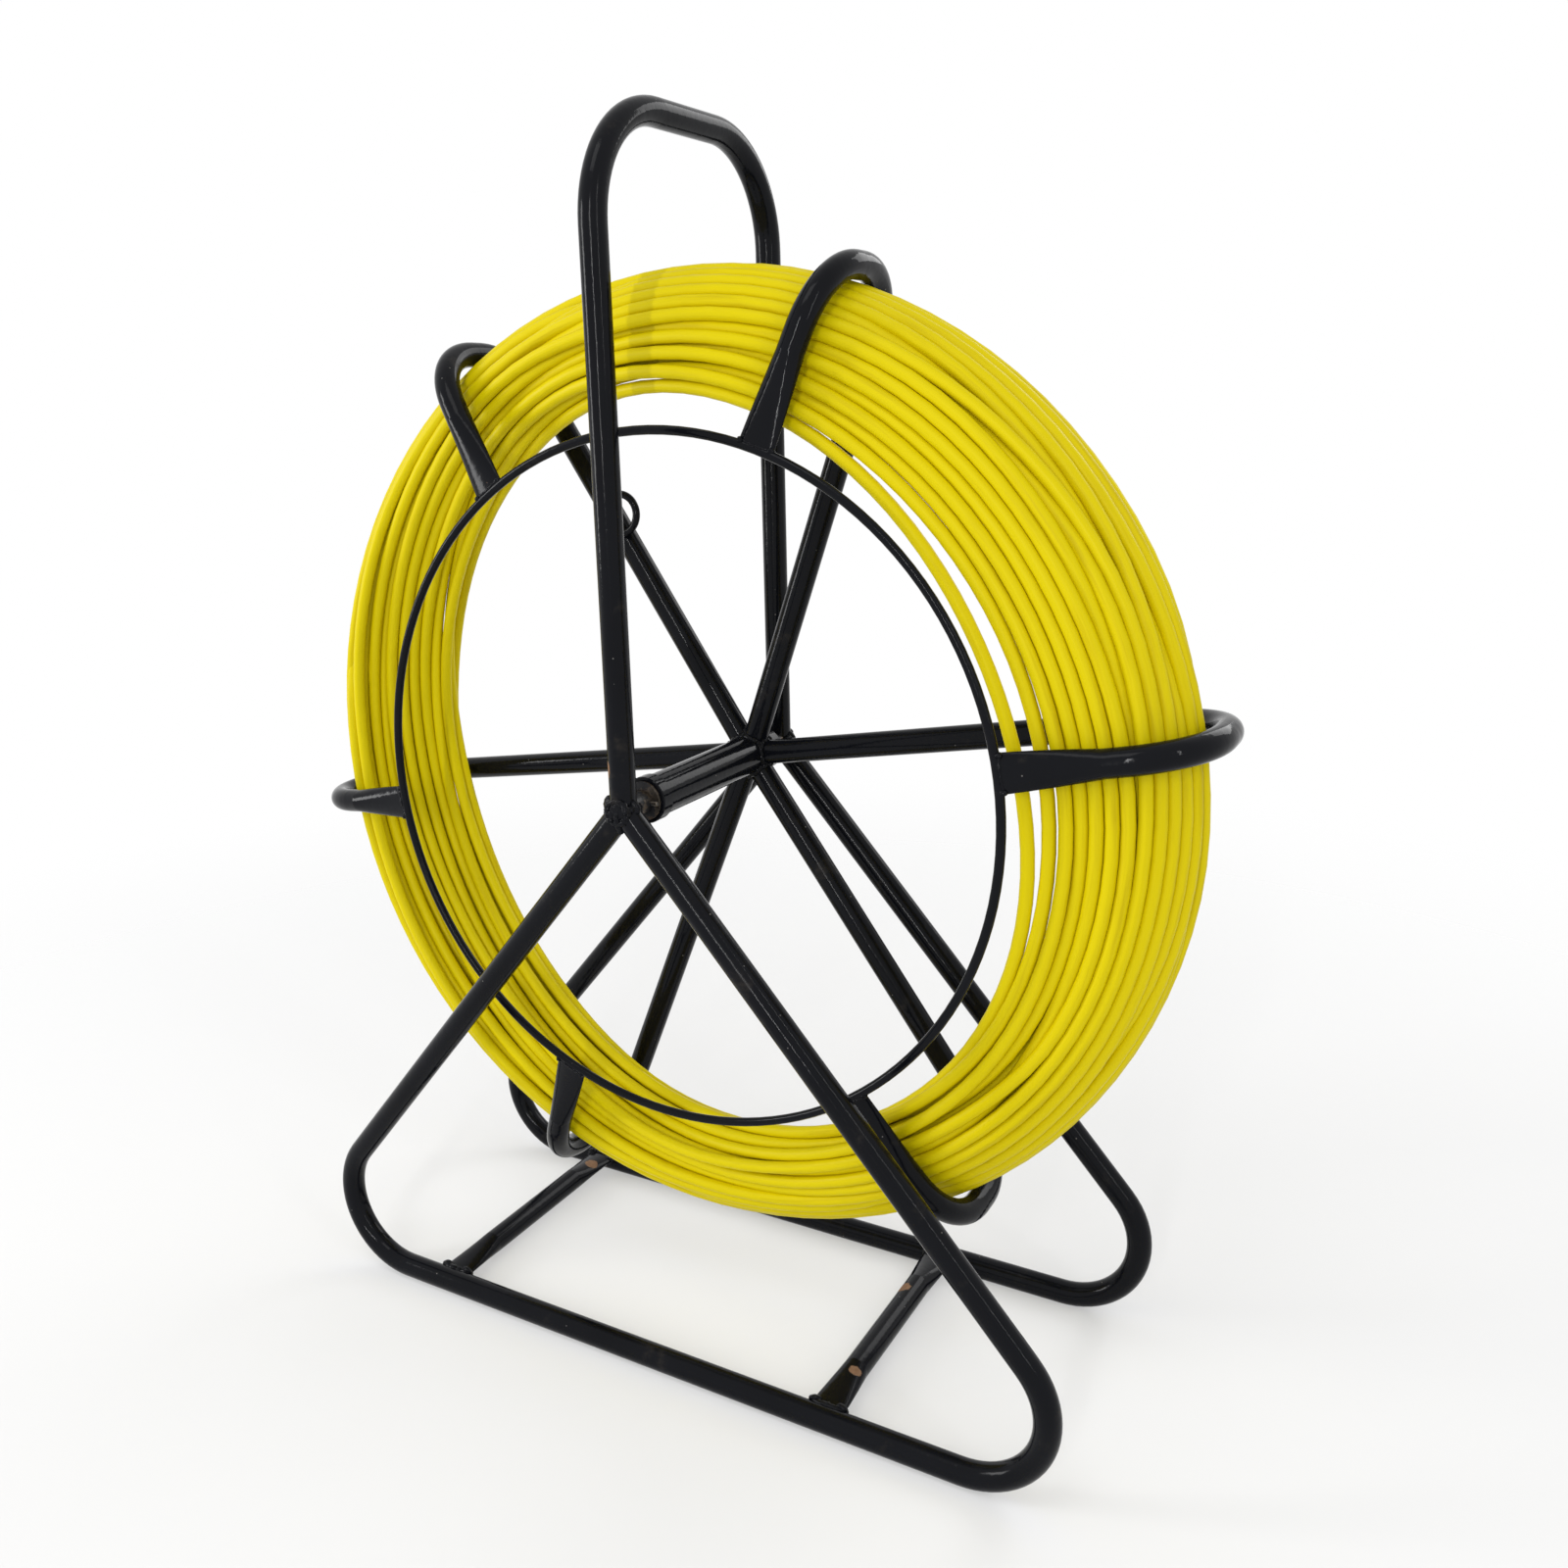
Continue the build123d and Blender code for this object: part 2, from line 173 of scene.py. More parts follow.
def section_place(angle, share, depth):
    """Radius and depth of each station, from its share of its row and the rows in front of it."""
    place = np.zeros(angle.shape + (2,))
    keys = sorted(FRONT_ROW)
    for low, high in zip(keys, keys[1:]):
        here = (angle % 360 >= low) & (angle % 360 < high)
        weight = smooth_share((angle[here] % 360 - low) / (high - low))[:, None]
        for key, part in ((low, 1 - weight), (high, weight)):
            row = along_line(FRONT_ROW[key], share[here])
            place[here] += part * (row + np.array(BEHIND[key]) * ROW_PITCH * depth[here][:, None])
    return place


def kept_in_hooks(place, room):
    """Each place pushed back inside the hooks."""
    inner = np.minimum(place, (BEND_MIDDLE_R, REAR_BEND_Y))
    corner = np.array([BEND_MIDDLE_R, FRONT_BEND_Y])
    normal = np.array([-LEG_IN[1], LEG_IN[0]])
    off = (inner - corner) @ normal
    on_leg = inner - off[:, None] * normal
    on_leg = np.where(on_leg[:, :1] >= BEND_MIDDLE_R, corner, on_leg)
    inner = np.where(off[:, None] < 0, on_leg, inner)
    away = place - inner
    far = np.linalg.norm(away, axis=1)
    share = np.where(far > room, room / np.maximum(far, 1e-9), 1)
    return inner + away * share[:, None]


# The straight ends, as in CAD: angle round the reel, radius, depth, the two tilts, heading
LEAD_END = (36.0, 0.24464, 0.0350, -6.0, 0.0, 1)
TAIL_END = (219.0, 0.29084, 0.0300, 8.0, 10.0, -1)
END_STRAIGHT = 0.052               # straight rod before a ferrule's mouth
END_INSIDE = 0.018                 # rod inside the ferrule
FERRULE_LENGTH = 0.028
FERRULE_R = 0.005
STUD_LENGTH = 0.012
ON_STATION = 0.2                   # degrees within which a point counts as at a station


def end_line(angle, radius, depth, tilt_out, tilt_rear, heading):
    """Mouth of a ferrule and the way that it points."""
    turn = radians(angle)
    out = np.array([cos(turn), 0, sin(turn)])
    along = np.array([-sin(turn), 0, cos(turn)]) * heading
    aim = along + out * sin(radians(tilt_out)) + np.array([0, sin(radians(tilt_rear)), 0])
    mouth = out * radius + np.array([0, depth, AXLE_Z])
    return mouth, aim / np.linalg.norm(aim)


def crossings(end, start, stop, reach):
    """Stations that a straight end or its ferrule passes, with radius, depth and the room each keeps."""
    mouth, aim = end_line(*end)
    found = []
    for distance in np.linspace(start, stop, 200):
        x, y, z = mouth + aim * distance - np.array([0, 0, AXLE_Z])
        angle = np.degrees(np.arctan2(z, x)) % 360
        station = round(angle / STEP) % STATIONS
        if abs(angle - station * STEP) < ON_STATION and station not in [f[0] for f in found]:
            found.append((station, np.hypot(x, z), y, reach))
    return found


LOOSE_MIDDLE = 22.0                # where the loose turn hangs furthest in, round the reel
LOOSE_HALF_WIDTH = 38.0            # degrees each side that it takes to come back
LOOSE_HOLD = 1.6                   # above one, it stays furthest in for a while
LOOSE_PLACE = (0.2170, -0.0435)
CROSSING = (262.0, 182.0)          # degrees before its end between which the last turn goes to the rear
# Angle, radius and depth of the last turn, on its way behind to the lead end
LAST_TURN = (
    (0, 0.2496, 0.035), (120, 0.2496, 0.035), (180, 0.2420, 0.041), (225, 0.245, 0.026), (260, 0.252, 0.008),
    (290, 0.252, 0.002), (325, 0.250, 0.012), (350, 0.251, 0.031), (360, 0.2496, 0.035),
)


def wind_rod():
    """Lay the turns row by row, then let them settle against each other and the hooks."""
    count = (LAST_STATION - FIRST_STATION) % STATIONS + STATIONS * FREE_TURNS + 1
    grid = FIRST_STATION + np.arange(count)
    angle = grid * STEP
    turns = (grid - grid[0]) / (grid[-1] - grid[0]) * sum(row[0] for row in ROWS)
    share, depth = np.zeros(count), np.zeros(count)
    done = 0.0
    for number, (taken, low, high) in enumerate(ROWS):
        mine = (turns >= done - 1e-9) & (turns <= done + taken + 1e-9)
        part = np.clip((turns[mine] - done) / taken, 0, 1)
        share[mine] = low + (high - low) * (part if number % 2 == 0 else 1 - part)
        depth[mine] = len(ROWS) - 1 - number
        done += taken
    place = section_place(angle, share, depth)

    # The last turn but one hangs loose inside the front row, and the last one crosses to the rear
    left = (grid[-1] - grid) / STATIONS
    off_middle = (angle - LOOSE_MIDDLE + 180) % 360 - 180
    last_but_one = (left > 0.5) & (left < 1.5)
    loose = smooth_share(LOOSE_HOLD * (1 - np.abs(off_middle) / LOOSE_HALF_WIDTH)) * last_but_one
    place += loose[:, None] * (np.array(LOOSE_PLACE) - place)
    lead_mouth, lead_aim = end_line(*LEAD_END)
    lead_at, *lead_line = np.array(LAST_TURN).T
    lead_place = np.stack([np.interp(angle % 360, lead_at, line) for line in lead_line], axis=-1)
    from_lead = (grid[-1] - grid) * STEP
    run = smooth_share((CROSSING[0] - from_lead) / (CROSSING[0] - CROSSING[1]))
    place += run[:, None] * (lead_place - place)

    rng = np.random.default_rng(3)
    knots = rng.normal(size=(count // WANDER_EVERY + 3, 2)) * WANDER
    at = np.arange(count) / WANDER_EVERY
    wander = np.stack([np.interp(at, np.arange(len(knots)), knots[:, k]) for k in (0, 1)], axis=-1)
    settled_room = HOOK_INSIDE_R - ROD_D / 2 - SLACK
    place = smoothed(place, STEP_BLUR) + WANDER_REGAIN * smoothed(wander, WANDER_EVERY)
    target = kept_in_hooks(place, settled_room - 2 * SLACK)

    by_station = [np.nonzero(grid % STATIONS == station)[0] for station in range(STATIONS)]
    first, second = [], []
    for strands in by_station:
        for n, strand in enumerate(strands):
            first += [strand] * (len(strands) - n - 1)
            second += list(strands[n + 1:])
    first, second = np.array(first), np.array(second)
    fixed = []
    for end in (LEAD_END, TAIL_END):
        fixed += crossings(end, -END_STRAIGHT, 0, ROD_D)
        fixed += crossings(end, 0, FERRULE_LENGTH + STUD_LENGTH, ROD_D / 2 + FERRULE_R)
    before = [station_on_line(angle[0] - STEP * n, TAIL_END) for n in (2, 1)]
    after = [station_on_line(angle[-1] + STEP * n, LEAD_END) for n in (1, 2)]

    place = target.copy()
    for step in range(PASSES):
        early, late = step < PASSES / 2, step >= PASSES - LAST_PASSES
        place += (PULLS[0] if early else PULLS[2] if late else PULLS[1]) * (target - place)
        if not late:
            place[1:-1] += EVENING * ((place[:-2] + place[2:]) / 2 - place[1:-1])
        line = np.vstack([before, place, after])
        place -= STIFFNESS * (line[:-4] - 4 * line[1:-3] + 6 * line[2:-2] - 4 * line[3:-1] + line[4:])
        apart = place[first] - place[second]
        far = np.linalg.norm(apart, axis=1)
        near = far < TURN_GAP
        overlap = TURN_GAP - far[near]
        push = apart[near] / np.maximum(far[near], 1e-6)[:, None] * (overlap * PARTING)[:, None]
        np.add.at(place, first[near], push)
        np.add.at(place, second[near], -push)
        for station, radius, y, room in fixed:
            strands = by_station[station]
            away = place[strands] - (radius, y)
            far = np.linalg.norm(away, axis=1)
            short = np.maximum(room + SLACK - far, 0)
            place[strands] += away / np.maximum(far, 1e-6)[:, None] * short[:, None]
        place = kept_in_hooks(place, settled_room)
        place[0] = station_on_line(angle[0], TAIL_END)
        place[-1] = station_on_line(angle[-1], LEAD_END)
    turn = np.radians(angle)
    free = np.stack([place[:, 0] * np.cos(turn), place[:, 1], AXLE_Z + place[:, 0] * np.sin(turn)], axis=-1)
    tail_mouth, tail_aim = end_line(*TAIL_END)
    straight = np.linspace(-END_INSIDE, END_STRAIGHT, 5)
    tail = [tail_mouth - tail_aim * s for s in straight]
    lead = [lead_mouth - lead_aim * s for s in straight[::-1]]
    return np.array(tail + list(free) + lead)


def station_on_line(angle, end):
    """Where a straight end, run on, crosses the half-plane of a station."""
    mouth, aim = end_line(*end)
    turn = radians(angle)
    across = np.array([-sin(turn), 0, cos(turn)])
    start = mouth - np.array([0, 0, AXLE_Z])
    point = start - aim * (start @ across) / (aim @ across)
    return np.array([np.hypot(point[0], point[2]), point[1]])


def line_of(points):
    """The rod's own line: one smooth open spline through its stations."""
    curve = bpy.data.curves.new("rod_line", "CURVE")
    curve.dimensions = "3D"
    spline = curve.splines.new("NURBS")
    spline.points.add(len(points) - 1)
    spline.points.foreach_set("co", np.column_stack([points, np.ones(len(points))]).ravel())
    spline.order_u = 3
    spline.use_endpoint_u = True
    spline.resolution_u = 2
    curve.use_fill_caps = True
    return bpy.data.objects.new("rod_line", curve)


def mark_rod(mesh, path):
    """Write each point's place along and round the rod, for a finish that follows it."""
    sides = len(mesh.vertices) // len(path)
    run = np.linalg.norm(np.diff(np.array(path), axis=0), axis=1)
    along = np.repeat(np.concatenate([[0], np.cumsum(run)]), sides)
    turn = np.tile(np.arange(sides) * 2 * pi / sides, len(path))
    place = np.stack([np.cos(turn), np.sin(turn), along], axis=-1)
    spare = len(mesh.vertices) - len(place)
    place = np.vstack([place, np.zeros((spare, 3))])
    marks = mesh.attributes.new("rod_place", "FLOAT_VECTOR", "POINT")
    marks.data.foreach_set("vector", place.ravel().astype(np.float32))


def make_rod():
    line = line_of(wind_rod())
    path = [tuple(vertex.co) for vertex in bpy.data.meshes.new_from_object(line).vertices]
    line.data.bevel_depth = ROD_D / 2
    line.data.bevel_resolution = 5
    mesh = bpy.data.meshes.new_from_object(line)
    mesh.name = "rod"
    rod = bpy.data.objects.new("rod", mesh)
    scene.collection.objects.link(rod)
    mark_rod(mesh, path)
    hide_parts("rod_coil")
    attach(rod, "reel")
    return rod


# ---------------------------------------------------------------- materials


class Finish:
    """One material being made: its nodes, and its shader."""

    def __init__(self, name):
        self.material = bpy.data.materials.new(name)
        self.material.use_nodes = True
        self.tree = self.material.node_tree
        self.shader = self.tree.nodes["Principled BSDF"]
        self.place = self.tree.nodes.new("ShaderNodeTexCoord").outputs["Object"]

    def put(self, socket, value):
        if isinstance(value, bpy.types.NodeSocket):
            self.tree.links.new(value, socket)
        else:
            socket.default_value = value

    def set(self, **values):
        """Set or link the shader's own sockets. An underscore stands for a space."""
        for name, value in values.items():
            self.put(self.shader.inputs[name.replace("_", " ")], value)

    def attribute(self, name):
        node = self.tree.nodes.new("ShaderNodeAttribute")
        node.attribute_name = name
        return node.outputs["Vector"]

    def scaled(self, place, scale):
        node = self.tree.nodes.new("ShaderNodeMapping")
        self.put(node.inputs["Vector"], place)
        node.inputs["Scale"].default_value = scale
        return node.outputs["Vector"]

    def noise(self, scale, detail=3.0, rough=0.5, place=None):
        node = self.tree.nodes.new("ShaderNodeTexNoise")
        self.put(node.inputs["Vector"], place or self.place)
        node.inputs["Scale"].default_value = scale
        node.inputs["Detail"].default_value = detail
        node.inputs["Roughness"].default_value = rough
        return node.outputs["Fac"]

    def between(self, value, low, high, to=(0.0, 1.0)):
        """Value stretched so that low and high become the two ends of to."""
        node = self.tree.nodes.new("ShaderNodeMapRange")
        node.interpolation_type = "SMOOTHSTEP"
        self.put(node.inputs["Value"], value)
        node.inputs["From Min"].default_value, node.inputs["From Max"].default_value = low, high
        node.inputs["To Min"].default_value, node.inputs["To Max"].default_value = to
        return node.outputs["Result"]

    def math(self, operation, a, b=0.0):
        node = self.tree.nodes.new("ShaderNodeMath")
        node.operation = operation
        self.put(node.inputs[0], a)
        self.put(node.inputs[1], b)
        return node.outputs[0]

    def mix(self, share, a, b):
        """Colour a where share is nought, b where it is one."""
        node = self.tree.nodes.new("ShaderNodeMix")
        node.data_type = "RGBA"
        self.put(node.inputs[0], share)
        self.put(node.inputs[6], (*a, 1) if isinstance(a, tuple) else a)
        self.put(node.inputs[7], (*b, 1) if isinstance(b, tuple) else b)
        return node.outputs[2]

    def blend(self, share, a, b):
        """Number a where share is nought, b where it is one."""
        node = self.tree.nodes.new("ShaderNodeMix")
        self.put(node.inputs[0], share)
        self.put(node.inputs[2], a)
        self.put(node.inputs[3], b)
        return node.outputs[0]

    def specks(self, scale, rare, size):
        """Small round specks: one inside a speck, nought elsewhere. rare is the share of cells with none."""
        node = self.tree.nodes.new("ShaderNodeTexVoronoi")
        self.put(node.inputs["Vector"], self.place)
        node.inputs["Scale"].default_value = scale
        chosen = self.tree.nodes.new("ShaderNodeSeparateColor")
        self.put(chosen.inputs[0], node.outputs["Color"])
        inside = self.between(node.outputs["Distance"], size, size * 0.6)
        return self.math("MULTIPLY", inside, self.math("GREATER_THAN", chosen.outputs[0], rare))

    def patch(self, middle, reach, ragged=0.5):
        """A ragged worn patch round one place on the object."""
        away = self.tree.nodes.new("ShaderNodeVectorMath")
        away.operation = "SUBTRACT"
        self.put(away.inputs[0], self.place)
        away.inputs[1].default_value = middle
        shrunk = self.scaled(away.outputs["Vector"], tuple(1 / r for r in reach))
        far = self.tree.nodes.new("ShaderNodeVectorMath")
        far.operation = "LENGTH"
        self.put(far.inputs[0], shrunk)
        edge = self.math("ADD", far.outputs["Value"], self.math("MULTIPLY", self.noise(420, 4), ragged))
        return self.between(edge, 1.0 + ragged / 2, 0.8 + ragged / 2)

    def bump(self, height, distance, strength=1.0):
        node = self.tree.nodes.new("ShaderNodeBump")
        node.inputs["Strength"].default_value = strength
        node.inputs["Distance"].default_value = distance
        self.put(node.inputs["Height"], height)
        before = self.shader.inputs["Normal"]
        if before.is_linked:
            self.put(node.inputs["Normal"], before.links[0].from_socket)
        self.put(before, node.outputs["Normal"])


def yellow_sheath():
    """Satin yellow sheath, drawn lengthwise, a little grubby and scuffed."""
    finish = Finish("yellow_sheath")
    along = finish.attribute("rod_place")
    drawn = finish.noise(1.0, 4, 0.6, finish.scaled(along, (2.4, 2.4, 3.0)))
    grime = finish.noise(1.0, 3, 0.55, finish.scaled(along, (0.8, 0.8, 11.0)))
    scuffs = finish.between(finish.noise(1.0, 5, 0.7, finish.scaled(along, (1.7, 1.7, 26.0))), 0.66, 0.74)
    clean = finish.mix(drawn, (0.700, 0.575, 0.0010), (0.660, 0.540, 0.0008))
    grubby = finish.mix(finish.between(grime, 0.5, 0.8), clean, (0.56, 0.435, 0.0015))
    scuffed = finish.mix(finish.math("MULTIPLY", scuffs, 0.35), grubby, (0.68, 0.58, 0.06))
    satin = finish.between(grime, 0.3, 0.7, (0.36, 0.50))
    finish.set(
        Base_Color=scuffed,
        Roughness=finish.math("ADD", satin, finish.math("MULTIPLY", scuffs, 0.12)),
        Specular_IOR_Level=0.10,
    )
    finish.bump(finish.noise(1.0, 3, 0.5, finish.scaled(along, (5.0, 5.0, 1.2))), 0.00022, 0.5)
    finish.bump(finish.noise(1.0, 2, 0.5, finish.scaled(along, (0.6, 0.6, 24.0))), 0.00035, 0.5)
    return finish.material


# Spots worn through to rusty steel: middle and reach of each
BARE_PATCHES = (
    ((-0.0052, -FRAME_Y - 0.0061, AXLE_Z + 0.025), (0.0022, 0.0026, 0.0055)),
    ((0.1195, 0.034, 0.0190), (0.0065, 0.0055, 0.0045)),
    ((0.1270, -0.058, 0.0165), (0.0050, 0.0040, 0.0040)),
    ((-0.1680, 0.070, 0.0165), (0.0060, 0.0060, 0.0040)),
)


def enamel(name, lumpy):
    """Gloss black enamel over tube: slight waves, dust, and bare spots browned by rust."""
    finish = Finish(name)
    # Near-black that varies at random; its bluish cast is a painted reflection of a cool light, not the
    # enamel's own colour.
    tone_and_painted_reflection = finish.mix(finish.noise(18, 3), (0.0022, 0.0025, 0.0036), (0.0060, 0.0066, 0.0092))
    dust = finish.specks(310, 0.985, 0.17)
    grime = finish.between(finish.noise(34, 5, 0.65), 0.60, 0.78)
    dusty = finish.mix(finish.math("MULTIPLY", grime, 0.35), tone_and_painted_reflection, (0.045, 0.038, 0.030))
    dusty = finish.mix(dust, dusty, (0.13, 0.125, 0.12))
    chips = finish.between(finish.noise(95, 4, 0.6), 0.765, 0.785)
    for middle, reach in BARE_PATCHES:
        chips = finish.math("MAXIMUM", chips, finish.patch(middle, reach))
    rust = finish.mix(finish.noise(380, 4), (0.135, 0.062, 0.030), (0.32, 0.20, 0.12))
    rough_spots = finish.math("MAXIMUM", chips, finish.math("MULTIPLY", dust, 0.8))
    gloss = finish.between(finish.noise(11, 4, 0.6), 0.3, 0.7, (0.07, 0.17))
    gloss = finish.math("ADD", gloss, finish.math("MULTIPLY", grime, 0.18))
    finish.set(
        Base_Color=finish.mix(chips, dusty, rust),
        Roughness=finish.blend(rough_spots, gloss, 0.62),
        Specular_IOR_Level=0.10,
    )
    finish.bump(finish.noise(38, 2), 0.0006, 0.35)
    finish.bump(finish.noise(240, 3), 0.00022, 0.5)
    if lumpy:
        finish.bump(finish.noise(620, 4), 0.0006, 0.7)
    finish.bump(finish.math("MULTIPLY", chips, -1.0), 0.00015, 0.8)
    return finish.material


def black_enamel():
    return enamel("black_enamel", False)


def weld_enamel():
    return enamel("weld_enamel", True)


def bare_steel():
    """Turned steel, browned and greasy, with black overspray."""
    finish = Finish("bare_steel")
    rings = finish.noise(1.0, 3, 0.6, finish.scaled(finish.place, (60, 900, 60)))
    stain = finish.between(finish.noise(85, 5, 0.65), 0.42, 0.64)
    paint = finish.between(finish.noise(140, 4, 0.6), 0.44, 0.52)
    metal = finish.mix(rings, (0.10, 0.085, 0.070), (0.17, 0.145, 0.120))
    brown = finish.mix(stain, metal, (0.050, 0.030, 0.018))
    finish.set(
        Base_Color=finish.mix(paint, brown, (0.012, 0.012, 0.014)),
        Metallic=finish.blend(paint, finish.between(stain, 0.0, 1.0, (1.0, 0.35)), 0.0),
        Roughness=finish.between(stain, 0.0, 1.0, (0.36, 0.68)),
        Specular_IOR_Level=0.25,
    )
    finish.bump(rings, 0.00008, 0.6)
    finish.bump(finish.noise(300, 3), 0.0002, 0.4)
    return finish.material


def brass():
    """Brass turned on a lathe, dulled by handling."""
    finish = Finish("brass")
    dull = finish.between(finish.noise(120, 5, 0.65), 0.40, 0.68)
    finish.set(
        Base_Color=finish.mix(dull, (0.70, 0.49, 0.19), (0.33, 0.21, 0.085)),
        Metallic=1.0,
        Roughness=finish.between(dull, 0.0, 1.0, (0.24, 0.50)),
    )
    finish.bump(finish.noise(700, 3), 0.00012, 0.5)
    return finish.material


def bush_nylon():
    """Off-white nylon, greyed where the grease has crept."""
    finish = Finish("bush_nylon")
    grease = finish.between(finish.noise(160, 4, 0.6), 0.40, 0.66)
    finish.set(
        Base_Color=finish.mix(grease, (0.60, 0.57, 0.48), (0.20, 0.18, 0.14)),
        Roughness=finish.between(grease, 0.0, 1.0, (0.52, 0.32)),
    )
    finish.bump(finish.noise(520, 3), 0.00015, 0.5)
    return finish.material


def finish_nodes():
    """Each CAD node takes the material of its slot in the record."""
    makers = (yellow_sheath, black_enamel, weld_enamel, bare_steel, brass, bush_nylon)
    made = {maker.__name__: maker() for maker in makers}
    for part in frame["record"]["subparts"]:
        mesh = nodes[part["node"]].data
        mesh.materials.clear()
        mesh.materials.append(made[part["material_slot"]])
    return made


# ---------------------------------------------------------------- welds

REEL_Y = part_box("spoke_hook_1")[1].y - TUBE_R      # middle of the spokes
SPOKE_ANGLES = (9, 70.5, 123, 188, 247.5, 305.5)
RIPPLE = 0.0016                    # along a bead, from one ripple to the next
DRIFT_EVERY = 8                    # points along a bead between its changes of thickness

# Radius of each kind of bead
SPOKE_BEAD = 0.0021
NOTCH_BEAD = 0.0017
RING_BEAD = 0.0010
EYE_BEAD = 0.0015
CROSS_TUBE_BEAD = 0.0022
APEX_BEAD = 0.0024
AXLE_BEAD = 0.0019


def skin_of(*names):
    shape = bmesh.new()
    for name in names:
        shape.from_mesh(nodes[name].data)
    tree = BVHTree.FromBMesh(shape)
    shape.free()
    return tree


def radial(angle, radius, y=0.0):
    """A point at an angle round the reel, a radius and a depth."""
    turn = radians(angle)
    return Vector((cos(turn) * radius, y, AXLE_Z + sin(turn) * radius))


def seam(start, along, across, half_wide, half_thick, onto, reach=0.08, rays=40):
    """The runs of points where rays along a tube's skin meet another piece."""
    along, across = Vector(along).normalized(), Vector(across).normalized()
    up = along.cross(across)
    tree = skin_of(*onto)
    hits = []
    for n in range(rays):
        turn = 2 * pi * n / rays
        foot = Vector(start) + across * cos(turn) * half_wide + up * sin(turn) * half_thick
        hits.append(tree.ray_cast(foot, along, reach)[0])
    if all(hits):
        return [hits + hits[:1]]
    first = hits.index(None)
    runs, run = [], []
    for hit in hits[first:] + hits[:first]:
        if hit:
            run.append(hit)
        elif run:
            runs.append(run)
            run = []
    if run:
        runs.append(run)
    return [run for run in runs if len(run) > 3]


def evenly(points, step):
    """The same line with its points a step apart."""
    line = np.array([tuple(p) for p in points])
    run = np.concatenate([[0], np.cumsum(np.linalg.norm(np.diff(line, axis=0), axis=1))])
    at = np.linspace(0, run[-1], max(4, round(run[-1] / step)))
    return np.stack([np.interp(at, run, line[:, k]) for k in range(3)], axis=-1)


def lump(shape, middle, size, towards=(0, 0, 1)):
    """A blob of weld metal: size is across, across and along towards."""
    turn = Vector(towards).to_track_quat("Z", "Y").to_matrix().to_4x4()
    made = bmesh.ops.create_icosphere(shape, subdivisions=3, radius=1.0)
    scale = Matrix.Diagonal((*size, 1))
    bmesh.ops.transform(shape, matrix=Matrix.Translation(middle) @ turn @ scale, verts=made["verts"])


def weld(name, body, beads, lumps=(), seed=0):
    """Beads of weld metal along lines, and blobs, all rippled and uneven. beads is pairs of line, radius."""
    rng = np.random.default_rng(seed)
    curve = bpy.data.curves.new(name, "CURVE")
    curve.dimensions = "3D"
    curve.bevel_depth = 1.0
    curve.bevel_resolution = 2
    curve.use_fill_caps = True
    for line, radius in beads:
        points = evenly(line, RIPPLE / 2)
        count = len(points)
        drift_at = np.arange(0, count + DRIFT_EVERY, DRIFT_EVERY)
        drift = np.interp(np.arange(count), drift_at, rng.uniform(0.8, 1.25, len(drift_at)))
        ripple = np.where(np.arange(count) % 2 == 0, 1.08, 0.93)
        spline = curve.splines.new("POLY")
        spline.points.add(count - 1)
        wobble = rng.normal(size=(count, 3)) * radius * 0.07
        spline.points.foreach_set("co", np.column_stack([points + wobble, np.ones(count)]).ravel())
        spline.points.foreach_set("radius", radius * drift * ripple)
    holder = bpy.data.objects.new(name, curve)
    shape = bmesh.new()
    if beads:
        shape.from_mesh(bpy.data.meshes.new_from_object(holder))
    for spec in lumps:
        lump(shape, *spec)
    bmesh.ops.remove_doubles(shape, verts=shape.verts, dist=1e-5)
    for vertex in shape.verts:
        swell = noise.noise(vertex.co * 420) * 0.00035 + noise.noise(vertex.co * 1100) * 0.00018
        vertex.co += vertex.normal * swell
    bmesh.ops.recalc_face_normals(shape, faces=shape.faces)
    mesh = bpy.data.meshes.new(name)
    shape.to_mesh(mesh)
    shape.free()
    mesh.shade_smooth()
    mesh.materials.append(materials["weld_enamel"])
    piece = bpy.data.objects.new(name, mesh)
    scene.collection.objects.link(piece)
    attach(piece, body)
    return piece


def hub_weld():
    """Round each spoke on the barrel, and in the notches between neighbours."""
    beads, lumps = [], []
    count = len(SPOKE_ANGLES)
    for number, angle in enumerate(SPOKE_ANGLES):
        inwards = radial(angle, 0.0) - radial(angle, 1.0)
        start = radial(angle, 0.045, REEL_Y)
        for run in seam(start, inwards, (0, 1, 0), TUBE_R + 0.0003, TUBE_R + 0.0003, ["hub_barrel"]):
            beads.append((run, SPOKE_BEAD))
        after = SPOKE_ANGLES[(number + 1) % count]
        half = ((after - angle) % 360) / 2
        middle = angle + half
        tip = TUBE_R / sin(radians(half))
        for side in (-1, 1):
            line = []
            for share in np.linspace(0, 1, 6):
                radius = BARREL_R + (tip - BARREL_R) * share
                off = max(TUBE_R**2 - (radius * sin(radians(half)))**2, 0) ** 0.5
                line.append(radial(middle, radius + 0.0004, REEL_Y + side * off))
            beads.append((line, NOTCH_BEAD))
            blob = radial(middle + 3 * side, BARREL_R + 0.0008, REEL_Y + side * 0.0062)
            lumps.append((blob, (0.0030, 0.0024, 0.0016), (0, side, 0.3)))
    return weld("hub_weld", "reel", beads, lumps, seed=11)


